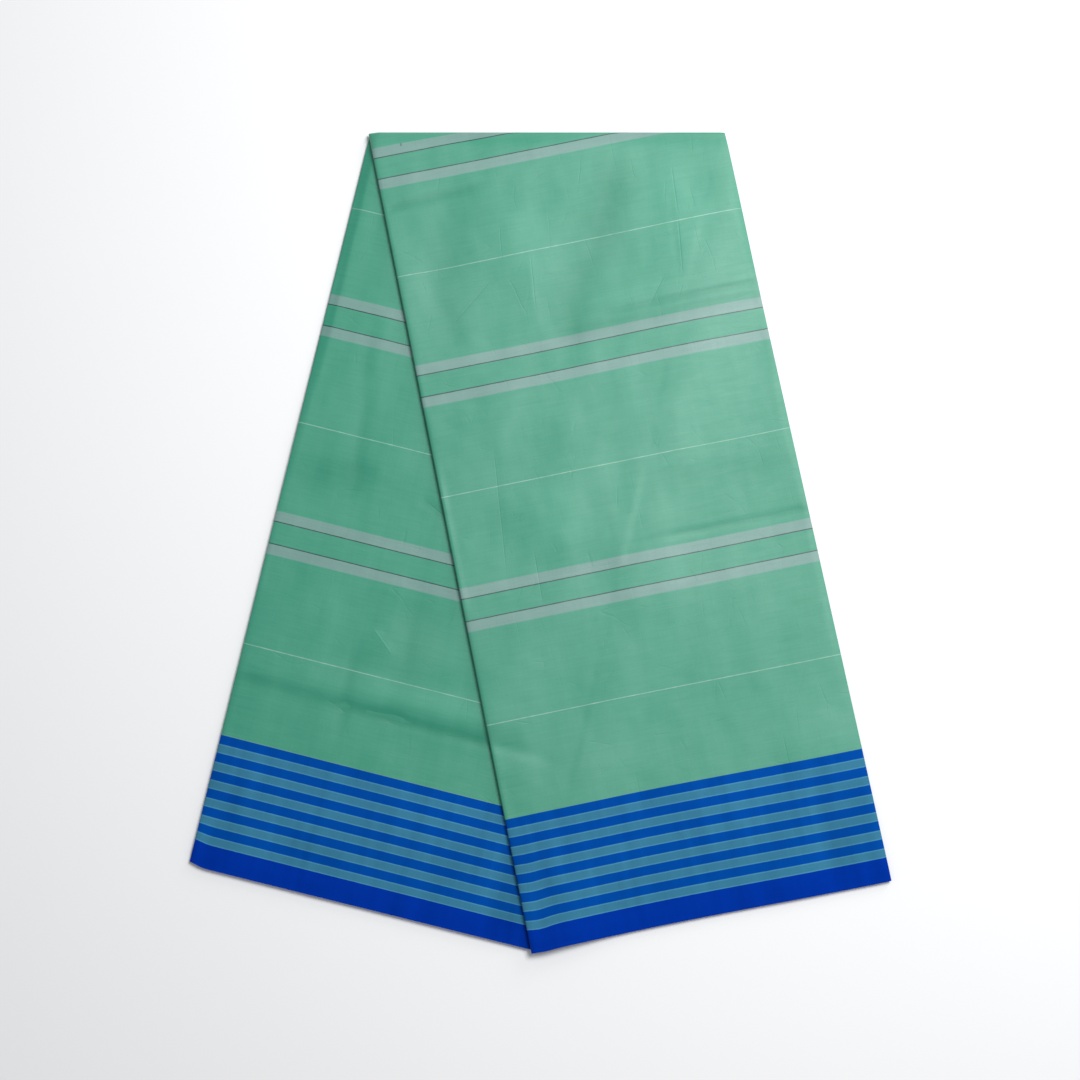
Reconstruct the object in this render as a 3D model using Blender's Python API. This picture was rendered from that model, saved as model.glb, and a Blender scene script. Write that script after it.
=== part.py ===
"""A flat-folded longyi: a sewn cotton tube, folded lengthwise into a strip and turned over once.

The folded strip lies on the XY plane, +Z up. Its top fold runs along +X. From there the front
strip leans down and to the right, on the back strip, which leans down and to the left. Each strip
is one visible layer with a rounded spine on its left, round the hidden layers, which share one
solid. A striped border is woven across each hem. The origin is the middle of the footprint, on
the surface that the cloth lies on. Metres throughout.
"""

import math

import bmesh
import bpy
from mathutils import Vector

# The cut, and how it is folded
TUBE_ROUND = 2.188
LAYERS = 8
STRIP_WIDTH = TUBE_ROUND / LAYERS
BACK_HEM_WIDTH = 0.2675
CLOTH_LENGTH = 1.221
FOLD_PAST_MIDDLE = 0.0305
FRONT_EDGE = CLOTH_LENGTH / 2 + FOLD_PAST_MIDDLE
BACK_EDGE = CLOTH_LENGTH / 2 - FOLD_PAST_MIDDLE
BORDER_DEPTH = 0.1009

# How the two strips lie
FRONT_LEAN = math.radians(11.5)
BACK_LEAN = math.radians(12.8)
FRONT_HEM_SLOPE = math.radians(11.3)
BACK_HEM_SLOPE = math.radians(14.1)

# The stack
GAP = 0.0003
WALL = 0.0010
FOLDS_THICK = 0.0031
STRIP_THICK = WALL + GAP + FOLDS_THICK
SPINE_RADIUS = STRIP_THICK / 2
BEND_RADIUS = STRIP_THICK + GAP / 2
BRIDGED = 0.006
STEP_DOWN = 0.060

# How finely the shapes are cut
FRONT_COLUMNS = 22
BACK_COLUMNS = 6
FIELD_STATIONS = 11
BORDER_STATIONS = 3
SPINE_SEGMENTS = 6
BEND_SEGMENTS = 14

# The folds that show at the open right side, from the bottom up: height and how far each sits back
SIDE_FOLDS = (
    {"height": 0.0011, "set_back": 0.0004},
    {"height": 0.0010, "set_back": 0.0014},
    {"height": 0.0010, "set_back": 0.0002},
)
FOLD_SWELL_DEGREES = (-60, -30, 0, 30, 60)
NOTCH_DEPTH = 0.0022

# The lower hidden layers end short of a hem in steps: the distance and the share of the height left
HEM_STEPS = (
    {"from_hem": 0.0036, "height": 1.00},
    {"from_hem": 0.0032, "height": 0.67},
    {"from_hem": 0.0022, "height": 0.67},
    {"from_hem": 0.0018, "height": 0.34},
    {"from_hem": 0.0008, "height": 0.34},
)

# The layers of the top fold end in steps too: the distance and the share of the radius left
BEND_STEPS = (
    {"from_end": 0.0000, "radius": 0.40},
    {"from_end": 0.0005, "radius": 0.42},
    {"from_end": 0.0009, "radius": 0.75},
    {"from_end": 0.0014, "radius": 0.77},
    {"from_end": 0.0018, "radius": 1.00},
)

# Finishes: linear colour, roughness
GREEN = {"name": "green_cotton", "colour": (0.112, 0.413, 0.279), "roughness": 0.72}
BLUE = {"name": "blue_border", "colour": (0.004, 0.075, 0.380), "roughness": 0.70}


def towards(lean_right):
    """The unit vector that points down the page, leaning this angle to the right."""
    return Vector((math.sin(lean_right), -math.cos(lean_right)))


def hem_vector(width, lean_right, rise):
    """A hem from its left corner to its right one. Its width is measured square across the strip."""
    reach = width / math.cos(rise - lean_right)
    return reach * Vector((math.cos(rise), math.sin(rise)))


def corners():
    """Each strip's corners: the ends of the top fold, then the left and right ends of its hem."""
    fold_left = Vector((0.0, 0.0))
    fold_right = Vector((STRIP_WIDTH / math.cos(FRONT_LEAN), 0.0))
    front_left = fold_left + FRONT_EDGE * towards(FRONT_LEAN)
    front_right = front_left + hem_vector(STRIP_WIDTH, FRONT_LEAN, FRONT_HEM_SLOPE)
    back_left = fold_left + BACK_EDGE * towards(-BACK_LEAN)
    back_right = back_left + hem_vector(BACK_HEM_WIDTH, -BACK_LEAN, -BACK_HEM_SLOPE)
    middle = Vector((
        (back_left.x + front_right.x) / 2,
        (fold_left.y + BEND_RADIUS + min(front_left.y, back_right.y)) / 2,
    ))
    front = [p - middle for p in (fold_left, fold_right, front_left, front_right)]
    back = [p - middle for p in (fold_left, fold_right, back_left, back_right)]
    return front, back


FRONT, BACK = corners()


def smooth_step(x):
    x = min(max(x, 0.0), 1.0)
    return x * x * (3.0 - 2.0 * x)


def rest_height(strip, point):
    """What the strip lies on. The front one lies on the back one, and slopes softly off its edge."""
    if strip is BACK:
        return 0.0
    top, bottom = BACK[1], BACK[3]
    edge = (bottom - top).normalized()
    past_edge = edge.x * (point.y - top.y) - edge.y * (point.x - top.x)
    return (STRIP_THICK + GAP) * (1.0 - smooth_step((past_edge - BRIDGED) / STEP_DOWN))


def place(strip, across, share=None, from_hem=None):
    """A point of the strip, metres across it, at a share of its green field or metres from its hem."""
    fold_left, fold_right, hem_left, hem_right = strip
    part = across / STRIP_WIDTH
    fold = fold_left.lerp(fold_right, part)
    hem = hem_left.lerp(hem_right, part)
    down = (hem - fold).normalized()
    start = fold + down * GAP / abs(down.y)
    if from_hem is None:
        end = hem - down * (BORDER_DEPTH + GAP / 2)
        return start.lerp(end, share)
    return hem - down * from_hem


def flat_columns(columns):
    """Where the flat of a strip is cut, in metres across it. Its layer and its folds share these."""
    width = STRIP_WIDTH - WALL / 2 - SPINE_RADIUS
    return [SPINE_RADIUS + width * i / columns for i in range(columns + 1)]


def layer_profile(columns):
    """The visible layer, square across the strip: a wall that turns round the spine on the left."""
    inside = SPINE_RADIUS - WALL
    edge = WALL / 2
    flat = flat_columns(columns)
    turn = [math.pi / 2 + math.pi * i / SPINE_SEGMENTS for i in range(SPINE_SEGMENTS + 1)]
    points = [(x, STRIP_THICK) for x in reversed(flat[1:])]
    for radius, angles in ((SPINE_RADIUS, turn), (inside, turn[::-1])):
        for angle in angles:
            points.append((
                SPINE_RADIUS + radius * math.cos(angle),
                SPINE_RADIUS + radius * math.sin(angle),
            ))
    points += [(x, STRIP_THICK - WALL) for x in flat[1:]]
    points.append((STRIP_WIDTH, STRIP_THICK - edge))
    return points


def folds_profile(columns):
    """The hidden layers, square across the strip: flat, round on the left, and layered on the right."""
    inside = SPINE_RADIUS - WALL - GAP
    left = SPINE_RADIUS + GAP
    right = STRIP_WIDTH - NOTCH_DEPTH
    flat = [left, *flat_columns(columns)[1:-1], right]
    points = [(x, 0.0) for x in flat]
    base = 0.0
    for fold in SIDE_FOLDS:
        radius = fold["height"] / 2
        centre = STRIP_WIDTH - fold["set_back"] - radius
        for degrees in FOLD_SWELL_DEGREES:
            angle = math.radians(degrees)
            points.append((centre + radius * math.cos(angle), base + radius + radius * math.sin(angle)))
        base += fold["height"]
        points.append((right, base))
    points += [(x, FOLDS_THICK) for x in flat[-2::-1]]
    for i in range(SPINE_SEGMENTS + 1):
        angle = math.pi / 2 + math.pi * i / SPINE_SEGMENTS
        across = SPINE_RADIUS + inside * math.cos(angle)
        points.append((across, SPINE_RADIUS + inside * math.sin(angle)))
    points.append((left, SPINE_RADIUS - inside))
    return points


def loft(name, rings, finish):
    """A closed solid through rings with the same number of points, with flat ends."""
    bm = bmesh.new()
    loops = []
    for ring in rings:
        verts = [bm.verts.new(point) for point in ring]
        loops.append([bm.edges.new((a, b)) for a, b in zip(verts, verts[1:] + verts[:1])])
    for first, second in zip(loops, loops[1:]):
        bmesh.ops.bridge_loops(bm, edges=first + second)
    for loop in (loops[0], loops[-1]):
        bmesh.ops.contextual_create(bm, geom=loop)
    bmesh.ops.recalc_face_normals(bm, faces=bm.faces)
    # One rule for every diagonal keeps stacked pieces parallel where they slope.
    bmesh.ops.triangulate(bm, faces=bm.faces, quad_method="SHORT_EDGE", ngon_method="BEAUTY")
    mesh = bpy.data.meshes.new(name)
    bm.to_mesh(mesh)
    bm.free()
    mesh.materials.append(material(finish))
    piece = bpy.data.objects.new(name, mesh)
    bpy.context.scene.collection.objects.link(piece)
    return piece


def material(finish):
    found = bpy.data.materials.get(finish["name"])
    if found:
        return found
    made = bpy.data.materials.new(finish["name"])
    made.use_nodes = True
    shader = made.node_tree.nodes["Principled BSDF"]
    shader.inputs["Base Color"].default_value = (*finish["colour"], 1.0)
    shader.inputs["Roughness"].default_value = finish["roughness"]
    shader.inputs["Metallic"].default_value = 0.0
    return made


def ring(strip, profile, height=1.0, **where):
    """One section of a strip, set on what it lies on. A height under 1 leaves out lower layers."""
    top = max(up for _, up in profile)
    points = []
    for across, up in profile:
        spot = place(strip, across, **where)
        points.append((spot.x, spot.y, rest_height(strip, spot) + top - (top - up) * height))
    return points


def build_strip(name, strip, columns):
    """The visible layer and the hidden folds of one strip, each as a green field and a blue border."""
    layer, folds = layer_profile(columns), folds_profile(columns)
    shares = [i / FIELD_STATIONS for i in range(FIELD_STATIONS + 1)]
    start, end = BORDER_DEPTH - GAP / 2, HEM_STEPS[0]["from_hem"]
    depths = [start + (end - start) * i / BORDER_STATIONS for i in range(BORDER_STATIONS + 1)]
    loft(f"{name}_layer", [ring(strip, layer, share=s) for s in shares], GREEN)
    loft(f"{name}_border", [ring(strip, layer, from_hem=d) for d in (*depths, 0.0)], BLUE)
    loft(f"{name}_folds", [ring(strip, folds, share=s) for s in shares], GREEN)
    inner = [ring(strip, folds, from_hem=d) for d in depths[:-1]]
    inner += [ring(strip, folds, step["height"], from_hem=step["from_hem"]) for step in HEM_STEPS]
    loft(f"{name}_border_folds", inner, BLUE)


def build_bend():
    """The top fold: all the layers turn over in a half round, stepped at its ends."""
    left, right = FRONT[0], FRONT[1]
    ends = [(left.x + step["from_end"], step["radius"]) for step in BEND_STEPS]
    ends += [(right.x - step["from_end"], step["radius"]) for step in reversed(BEND_STEPS)]
    rings = []
    for x, part in ends:
        points = []
        for i in range(BEND_SEGMENTS + 1):
            angle = math.pi / 2 - math.pi * i / BEND_SEGMENTS
            reach = BEND_RADIUS * part
            points.append((x, left.y + reach * math.cos(angle), BEND_RADIUS + reach * math.sin(angle)))
        rings.append(points)
    loft("top_fold", rings, GREEN)


for old in list(bpy.data.objects):
    bpy.data.objects.remove(old, do_unlink=True)

build_strip("back", BACK, BACK_COLUMNS)
build_strip("front", FRONT, FRONT_COLUMNS)
build_bend()
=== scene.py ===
# %% [markdown]
# # A folded longyi
#
# A longyi is a tube of thin cotton, worn as a skirt in Myanmar and its neighbours. Here it is
# folded for a shelf: the tube is pressed flat, folded in half lengthwise and in half again, which
# makes a strip of eight layers, and the strip is turned over once at a slanted fold. The packed
# CAD model gives the places and sizes. This script dresses it: each strip's visible layer becomes
# a thin sheet with real creases, and the layers below become one long folded sheet.

import math

import bmesh
import bpy
import numpy as np
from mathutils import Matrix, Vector, noise


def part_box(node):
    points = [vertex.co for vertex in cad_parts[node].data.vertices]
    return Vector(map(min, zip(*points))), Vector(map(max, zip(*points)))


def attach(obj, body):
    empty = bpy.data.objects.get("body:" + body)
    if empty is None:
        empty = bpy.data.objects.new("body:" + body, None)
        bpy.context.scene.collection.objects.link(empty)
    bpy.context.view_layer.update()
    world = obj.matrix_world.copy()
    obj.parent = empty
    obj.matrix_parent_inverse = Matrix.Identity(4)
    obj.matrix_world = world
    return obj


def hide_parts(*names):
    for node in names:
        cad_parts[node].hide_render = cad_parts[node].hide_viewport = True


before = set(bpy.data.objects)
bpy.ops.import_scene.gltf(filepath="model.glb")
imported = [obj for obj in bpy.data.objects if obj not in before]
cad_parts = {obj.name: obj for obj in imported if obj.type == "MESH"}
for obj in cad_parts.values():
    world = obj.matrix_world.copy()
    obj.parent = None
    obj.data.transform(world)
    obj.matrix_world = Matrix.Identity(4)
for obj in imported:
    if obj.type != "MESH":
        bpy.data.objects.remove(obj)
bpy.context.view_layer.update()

# %% [markdown]
# ## Where the strips lie
#
# Every place comes from the CAD solids. A corner of a strip is the vertex that reaches furthest
# in some direction, so asking each border for its lowest, leftmost or rightmost vertex finds the
# corners without repeating the plan's angles. Metres and flat (x, y) pairs are enough here,
# because heights are added later.

# %% Corners of the two strips
# metres between one strip and what it lies on
CLEAR = 0.0003
# metres from the hem to where the blue ends
BORDER = {"front": 0.0998, "back": 0.0992}
# how far each corner of a hem hangs past the CAD's, in metres along its edge
LET_DOWN = {
    "front": {"hem_left": 0.0004, "hem_right": -0.0014},
    "back": {"hem_left": -0.0015, "hem_right": -0.0015},
}


def furthest(node, direction):
    """The (x, y) of the vertex of a CAD node that reaches furthest along a flat direction."""
    points = [v.co.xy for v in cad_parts[node].data.vertices]
    return np.array(max(points, key=lambda p: p.dot(Vector(direction))))


bend_low, bend_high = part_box("top_fold")
FOLD_LEFT = np.array([bend_low.x, bend_low.y])
FOLD_RIGHT = np.array([bend_high.x, bend_low.y])
STACK = (bend_high.z - CLEAR) / 2

strips = {
    "front": {
        "hem_left": furthest("front_border", (0, -1)),
        "hem_right": furthest("front_border", (1, 0)),
    },
    "back": {
        "hem_left": furthest("back_border", (-1, 0)),
        "hem_right": furthest("back_border", (0, -1)),
    },
}
front_edge = strips["front"]["hem_left"] - FOLD_LEFT
LEAN = math.atan2(front_edge[0], -front_edge[1])
WIDTH = (FOLD_RIGHT[0] - FOLD_LEFT[0]) * math.cos(LEAN)
for name, strip in strips.items():
    for corner, fold in (("hem_left", FOLD_LEFT), ("hem_right", FOLD_RIGHT)):
        down = (strip[corner] - fold) / np.hypot(*(strip[corner] - fold))
        strip[corner] = strip[corner] + LET_DOWN[name][corner] * down
    print(f"{name} strip: {np.hypot(*(strip['hem_left'] - FOLD_LEFT)):.4f} m along its left edge")
print(f"folded width {WIDTH:.4f} m, stack {1000 * STACK:.2f} mm, front lean {math.degrees(LEAN):.2f} degrees")

# %% [markdown]
# ## The camera
#
# The cloth is seen from almost straight above, leaning a little towards the hems. The camera is
# placed by an elevation, a distance and a point to look at, which is easier to reason about than
# a location and three angles.

# %% Camera
ELEVATION = math.radians(82.76)
DISTANCE = 1.40
LOOK_AT = Vector((0.0004, -0.0061, 0.0))
LENS_MM = 60.98
SENSOR_MM = 36.0

camera_data = bpy.data.cameras.new("camera")
camera_data.lens = LENS_MM
camera_data.sensor_width = SENSOR_MM
camera = bpy.data.objects.new("camera", camera_data)
bpy.context.scene.collection.objects.link(camera)
outward = Vector((0.0, -math.cos(ELEVATION), math.sin(ELEVATION)))
camera.location = LOOK_AT + DISTANCE * outward
camera.rotation_mode = "QUATERNION"
camera.rotation_quaternion = (-outward).to_track_quat("-Z", "Y")
bpy.context.scene.camera = camera

# %% [markdown]
# ## How full the stack is
#
# Eight layers of cotton never press to an even thickness. They thin out at a folded edge, at the
# open side, at the hems and at the turn. One function gives the share of the full thickness at
# any spot, so every layer of a strip follows it and none cuts through another. Spots are given as
# `across`, metres from the left fold, and `up`, metres up from the hem.

# %% Fullness
# reach is how many metres in from an edge the stack thins, and drop is the share it loses there
LEFT_FOLD = {"front": {"reach": 0.0016, "drop": 0.10}, "back": {"reach": 0.0040, "drop": 0.16}}
SLACK_FOLD = {"front": {"reach": 0.0016, "drop": 0.14}, "back": {"reach": 0.0085, "drop": 0.38}}
# metres up at which the left fold starts to slacken, and how long it takes
SLACK_FROM = {"front": 0.600, "back": 0.320}
SLACK_OVER = {"front": 0.035, "back": 0.120}
OPEN_SIDE = {"reach": 0.0040, "drop": 0.10}
HEM_EDGE = {"reach": 0.0110, "drop": 0.16}
TURN = {"reach": 0.0110, "drop": 0.12}


def smooth(x):
    """0 below 0 and 1 above 1, with a soft rise between them."""
    x = np.clip(x, 0.0, 1.0)
    return x * x * (3.0 - 2.0 * x)


def line(strip, across):
    """Both ends of the lines that run down a strip from its fold to its hem, and their lengths."""
    part = (across / WIDTH)[..., None]
    top = FOLD_LEFT + (FOLD_RIGHT - FOLD_LEFT) * part
    hem = strips[strip]["hem_left"] + (strips[strip]["hem_right"] - strips[strip]["hem_left"]) * part
    return top, hem, np.linalg.norm(hem - top, axis=-1)


def fullness(strip, across, up, open_side=True):
    """The share of the full thickness that the stack has at a spot."""
    length = line(strip, across)[2]
    slack = smooth((up - SLACK_FROM[strip]) / SLACK_OVER[strip])
    drop = LEFT_FOLD[strip]["drop"] * (1 - slack) + SLACK_FOLD[strip]["drop"] * slack
    reach = LEFT_FOLD[strip]["reach"] * (1 - slack) + SLACK_FOLD[strip]["reach"] * slack
    share = 1 - drop * (1 - smooth(across / reach))
    if open_side:
        share = share * (1 - OPEN_SIDE["drop"] * (1 - smooth((WIDTH - across) / OPEN_SIDE["reach"])))
    share = share * (1 - HEM_EDGE["drop"] * (1 - smooth(up / HEM_EDGE["reach"])))
    return share * (1 - TURN["drop"] * (1 - smooth((length - up) / TURN["reach"])))


for spot in ((0.0, 0.3), (0.1, 0.3), (WIDTH, 0.3), (0.1, 0.0)):
    shares = {name: round(float(fullness(name, np.array(spot[0]), np.array(spot[1]))), 2) for name in strips}
    print(f"fullness {1000 * spot[0]:.0f} mm across and {1000 * spot[1]:.0f} mm up:", shares)

# %% [markdown]
# ## Creases placed one by one
#
# Stored cotton keeps soft troughs where it was once folded, parallel to its stripes, and a few
# ridges along the strip. Each row below is one of them: two ends, a height (negative for a
# trough) and how wide it is on each side, in millimetres. A crease is strongest in its middle and
# fades to nothing at its ends. A cloth simulation would crease at random, and a table lets each one
# be moved or softened by itself. Broad swells come from four stretched noises.

# %% Creases and swells
MM = 0.001
CREASE_FADE = 0.3
CREASES = {
    "front": (
        # from (across, up), to (across, up), height, width below, width above
        (330, 466, 130, 463, -0.62, 3.0, 2.4),
        (340, 456, 70, 454, -0.48, 7.0, 4.0),
        (250, 476, 110, 474, 0.22, 5.0, 6.0),
        (-16, 579, 90, 582, -0.60, 4.0, 3.0),
        (330, 284, 130, 285, -0.50, 3.0, 2.6),
        (188, 590, 150, 490, -0.80, 15.0, 17.0),
        (152, 520, 116, 440, -0.55, 14.0, 14.0),
        (225, 600, 226, 470, 0.45, 24.0, 24.0),
        (98, 570, 104, 490, 0.45, 17.0, 17.0),
        (44, 580, 30, 440, -0.45, 15.0, 15.0),
        (90, 345, 84, 285, 0.45, 20.0, 20.0),
        (2, 12, 30, 10, 0.25, 9.0, 9.0),
        (205, 560, 262, 520, 0.35, 14.0, 14.0),
        (222, 560, 214, 470, -0.16, 2.6, 2.6),
        (238, 560, 236, 520, -0.13, 2.4, 2.4),
        (106, 535, 98, 468, 0.14, 2.4, 2.4),
        (50, 400, 36, 262, -0.13, 2.6, 2.6),
        (62, 300, 60, 246, -0.12, 2.4, 2.4),
        (104, 120, 103, 74, -0.10, 2.4, 2.4),
        (217, 126, 217, 74, -0.10, 2.4, 2.4),
        (70, 352, 150, 350, 0.22, 16.0, 12.0),
        (150, 330, 285, 322, -0.25, 11.0, 9.0),
        (205, 484, 186, 460, -0.14, 2.4, 2.4),
        (76, 510, 28, 476, -0.14, 2.4, 2.4),
    ),
    "back": (
        (-30, 145, 150, 142, -0.70, 7.0, 5.5),
        (80, 142, 270, 141, -0.85, 4.5, 6.0),
        (70, 160, 250, 158, 0.70, 9.0, 10.0),
        (83, 200, 90, 100, -0.40, 5.0, 6.0),
        (38, 440, 58, 280, -0.45, 6.0, 7.0),
        (236, 20, 262, 4, -0.40, 9.0, 9.0),
        (60, 36, 120, 22, -0.40, 9.0, 9.0),
        (-6, 303, 84, 323, -0.40, 12.0, 9.0),
        (104, 312, 136, 297, -0.30, 3.4, 3.4),
        (93, 207, 116, 187, 0.26, 3.0, 3.0),
        (60, 250, 64, 120, 0.30, 11.0, 11.0),
        (130, 270, 126, 110, -0.26, 9.0, 9.0),
        (52, 470, 40, 330, 0.22, 6.0, 6.0),
    ),
}
SWELLS = (
    # millimetres across one swell, millimetres along it, height, and a seed
    (52.0, 95.0, 1.00, 3.1),
    (21.0, 55.0, 0.36, 8.7),
    (120.0, 34.0, 0.60, 5.4),
    (14.0, 12.0, 0.12, 2.2),
)
# metres across, so that the two strips don't swell alike
SWELL_SHIFT = {"front": 0.0, "back": 1.7}
# metres over which the relief dies away at a side and at an end, and the share left at the hem
EDGE_FADE = 0.006
END_FADE = 0.012
AT_HEM = 0.35


def crease(row, across, up):
    """The height of one crease at each spot, in metres."""
    x0, y0, x1, y1, height, below, above = (MM * value for value in row)
    along = np.array([x1 - x0, y1 - y0])
    reach = np.hypot(*along)
    along = along / reach
    # turned to run right, or down where it is steep, so that below and above keep their sides
    if abs(along[0]) > abs(along[1]):
        along = along * np.sign(along[0])
        x0, y0 = (x0, y0) if x1 > x0 else (x1, y1)
    else:
        along = along * -np.sign(along[1])
        x0, y0 = (x0, y0) if y1 < y0 else (x1, y1)
    run = (across - x0) * along[0] + (up - y0) * along[1]
    off = (up - y0) * along[0] - (across - x0) * along[1]
    width = np.where(off > 0, above, below)
    fade = smooth(run / (CREASE_FADE * reach)) * smooth((reach - run) / (CREASE_FADE * reach))
    return height * fade * np.exp(-((off / width) ** 2))


def swell(row, across, up):
    """The height of one broad swell at each spot, in metres."""
    wide, long, height, seed = row
    flat = np.stack([across / (MM * wide), up / (MM * long)], axis=-1).reshape(-1, 2)
    values = [noise.noise(Vector((x, y, seed))) for x, y in flat]
    return MM * height * np.array(values).reshape(across.shape)


def relief(strip, across, up):
    """How far the cloth stands above or below its even surface. It dies away at edges and at the turn."""
    height = sum(crease(row, across, up) for row in CREASES[strip])
    height = height + sum(swell(row, across + SWELL_SHIFT[strip], up) for row in SWELLS)
    length = line(strip, across)[2]
    edges = smooth(across / EDGE_FADE) * smooth((WIDTH - across) / EDGE_FADE)
    at_hem = AT_HEM + (1 - AT_HEM) * smooth(up / END_FADE)
    return height * edges * at_hem * smooth((length - up) / END_FADE)


print("creases:", {name: len(rows) for name, rows in CREASES.items()})

# %% [markdown]
# ## From a spot on the cloth to a place in space
#
# The back strip lies on the table. The front strip lies on the back one, and past the back
# strip's open side it slopes down to the table. Near the hems the cloth at the left fold is drawn
# up or let down a little, and the front strip's right side sags, which rounds the corners and bends
# the border's stripes. Shifting whole rows this way keeps the grid even, as woven cloth is.

# %% Places on the strips
# the front strip stays level this far past the back one's side, then comes down over this far
BRIDGED = 0.006
STEP_DOWN = 0.060
DRAWN_UP = {
    "front": {"by": -0.0016, "at": 0.010, "wide": 0.0095, "up": 0.110, "hem_share": 0.4},
    "back": {"by": 0.0024, "at": 0.000, "wide": 0.0075, "up": 0.050, "hem_share": 1.0},
}
HEM_REACH = 0.014
BACK_CORNER_UP = 0.0021
CORNER_REACH = 0.030
TINY = 1e-6
FRONT_SAG = {"by": 0.0028, "from": 0.085, "over": 0.195, "up_from": 0.060, "up_over": 0.220}


def hump(value, middle, reach):
    """1 in the middle, and falling softly to 0 on both sides."""
    return np.exp(-(((value - middle) / reach) ** 2))


def drawn_up(strip, across, up):
    """How far spots on a strip are drawn up from an even lay, in metres."""
    pull = DRAWN_UP[strip]
    left = pull["by"] * hump(across, pull["at"], pull["wide"]) * (1 - smooth(up / pull["up"]))
    left = left * (pull["hem_share"] + (1 - pull["hem_share"]) * smooth(up / HEM_REACH))
    if strip == "back":
        return left + BACK_CORNER_UP * across / WIDTH * (1 - smooth(up / CORNER_REACH))
    sag = FRONT_SAG["by"] * smooth((across - FRONT_SAG["from"]) / FRONT_SAG["over"])
    return left - sag * (1 - smooth((up - FRONT_SAG["up_from"]) / FRONT_SAG["up_over"]))


def flat_place(strip, across, up):
    """The (x, y) of spots on a strip."""
    drawn = drawn_up(strip, across, up)
    top, hem, length = line(strip, across)
    return hem + (top - hem) * ((up + drawn) / length)[..., None]


def cross(a, b):
    """The area that two flat directions span, which is positive when b lies to the left of a."""
    return a[..., 0] * b[..., 1] - a[..., 1] * b[..., 0]


def on_back_strip(place):
    """Where flat places lie on the back strip, as across and up, and how far past its open side."""
    back = strips["back"]
    left = (back["hem_left"] - FOLD_LEFT) / np.hypot(*(back["hem_left"] - FOLD_LEFT))
    right = (back["hem_right"] - FOLD_RIGHT) / np.hypot(*(back["hem_right"] - FOLD_RIGHT))
    inside = cross(left, place - FOLD_LEFT)
    past = cross(right, place - FOLD_RIGHT)
    across = WIDTH * np.clip(inside / np.maximum(inside - past, TINY), 0, 1)
    hem = line("back", across)[1]
    up = np.linalg.norm(place - hem, axis=-1)
    return across, up, past


def rest_height(strip, place):
    """The height of what a strip lies on."""
    if strip == "back":
        return np.zeros(place.shape[:-1])
    across, up, past = on_back_strip(place)
    thick = STACK * fullness("back", across, up, open_side=False) + relief("back", across, up)
    return (thick + CLEAR) * (1 - smooth((past - BRIDGED) / STEP_DOWN))


middle = flat_place("front", np.array(WIDTH / 2), np.array(0.3))
print("the front strip's middle rests", round(1000 * float(rest_height("front", middle)), 2), "mm up")

# %% [markdown]
# ## The folded section
#
# Cut across a strip, the tube is one closed loop: from the visible layer round the spine on the
# left to the bottom one, and through six layers between them. The layers are numbered by height,
# 1 to 8. Each turn is a half ellipse, and an inner turn sits back from the one round it, as it does
# in a pile of folded cloth. The path is a row of points, each a place across and a height.

# %% Section paths
CLOTH = 0.00030
LAYERS = 8
# the layers in the order in which the cloth goes through them
LAYER_ORDER = {"front": (8, 7, 2, 3, 6, 5, 4, 1), "back": (8, 5, 4, 3, 6, 7, 2, 1)}
# how far each turn sits back from the strip's side, in millimetres
SET_BACK = {
    "front": {
        "right": {(7, 8): 0.0, (5, 6): 1.1, (1, 4): 0.5, (2, 3): 1.9},
        "left": {(1, 8): 0.0, (2, 7): 1.5, (3, 6): 2.3, (4, 5): 3.2},
    },
    "back": {
        "right": {(5, 8): 0.0, (6, 7): 1.5, (3, 4): 0.9, (1, 2): 0.3},
        "left": {(1, 8): 0.0, (2, 7): 8.4, (3, 6): 9.2, (4, 5): 9.9},
    },
}
TURN_STEPS = 8
TURN_LEAST = 0.0002
TURN_BULGE = 0.32
# how far the visible layer's two ends are tucked in
LIP = 0.008


def level(layer):
    """The height of the middle of a layer in a full stack."""
    return CLOTH / 2 + (STACK - CLOTH) * (layer - 1) / (LAYERS - 1)


def turn_reach(low, high):
    """How far a turn between two layers bulges sideways."""
    return TURN_LEAST + TURN_BULGE * (level(high) - level(low)) / 2


def turn(strip, side, start, end):
    """The points of a turn from one layer to another."""
    low, high = sorted((start, end))
    reach = turn_reach(low, high)
    back = MM * SET_BACK[strip][side][(low, high)]
    centre = WIDTH - back - reach if side == "right" else back + reach
    outwards = 1 if side == "right" else -1
    middle, half = (level(low) + level(high)) / 2, (level(end) - level(start)) / 2
    angles = [math.pi * (i / TURN_STEPS - 0.5) for i in range(TURN_STEPS + 1)]
    return [(centre + outwards * reach * math.cos(a), middle + half * math.sin(a)) for a in angles]


def spread(start, end, layer, steps):
    """Evenly spaced points along a layer, without its ends."""
    return [(start + (end - start) * i / steps, level(layer)) for i in range(1, steps)]


def outer_section(strip, columns):
    """The visible layer, with its spine on the left and its first turn on the right."""
    second = LAYER_ORDER[strip][1]
    spine = turn(strip, "left", 1, LAYERS)
    right = turn(strip, "right", LAYERS, second)
    path = [(LIP, level(1)), *spine, *spread(spine[-1][0], right[0][0], LAYERS, columns), *right]
    return np.array([*path, (WIDTH - LIP, level(second))])


def inner_section(strip, columns):
    """The layers below, as one path of turns."""
    order = LAYER_ORDER[strip]
    path = [(WIDTH - LIP - CLEAR, level(order[1]))]
    for i, (start, end) in enumerate(zip(order[1:], order[2:])):
        bend = turn(strip, "left" if i % 2 == 0 else "right", start, end)
        path += spread(path[-1][0], bend[0][0], start, columns) + bend
    path += spread(path[-1][0], LIP + CLEAR, 1, columns)
    return np.array([*path, (LIP + CLEAR, level(1))])


def cloth_lengths(section):
    """The length along the cloth from the first point to each point."""
    return np.concatenate([[0.0], np.cumsum(np.hypot(*np.diff(section, axis=0).T))])


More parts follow.
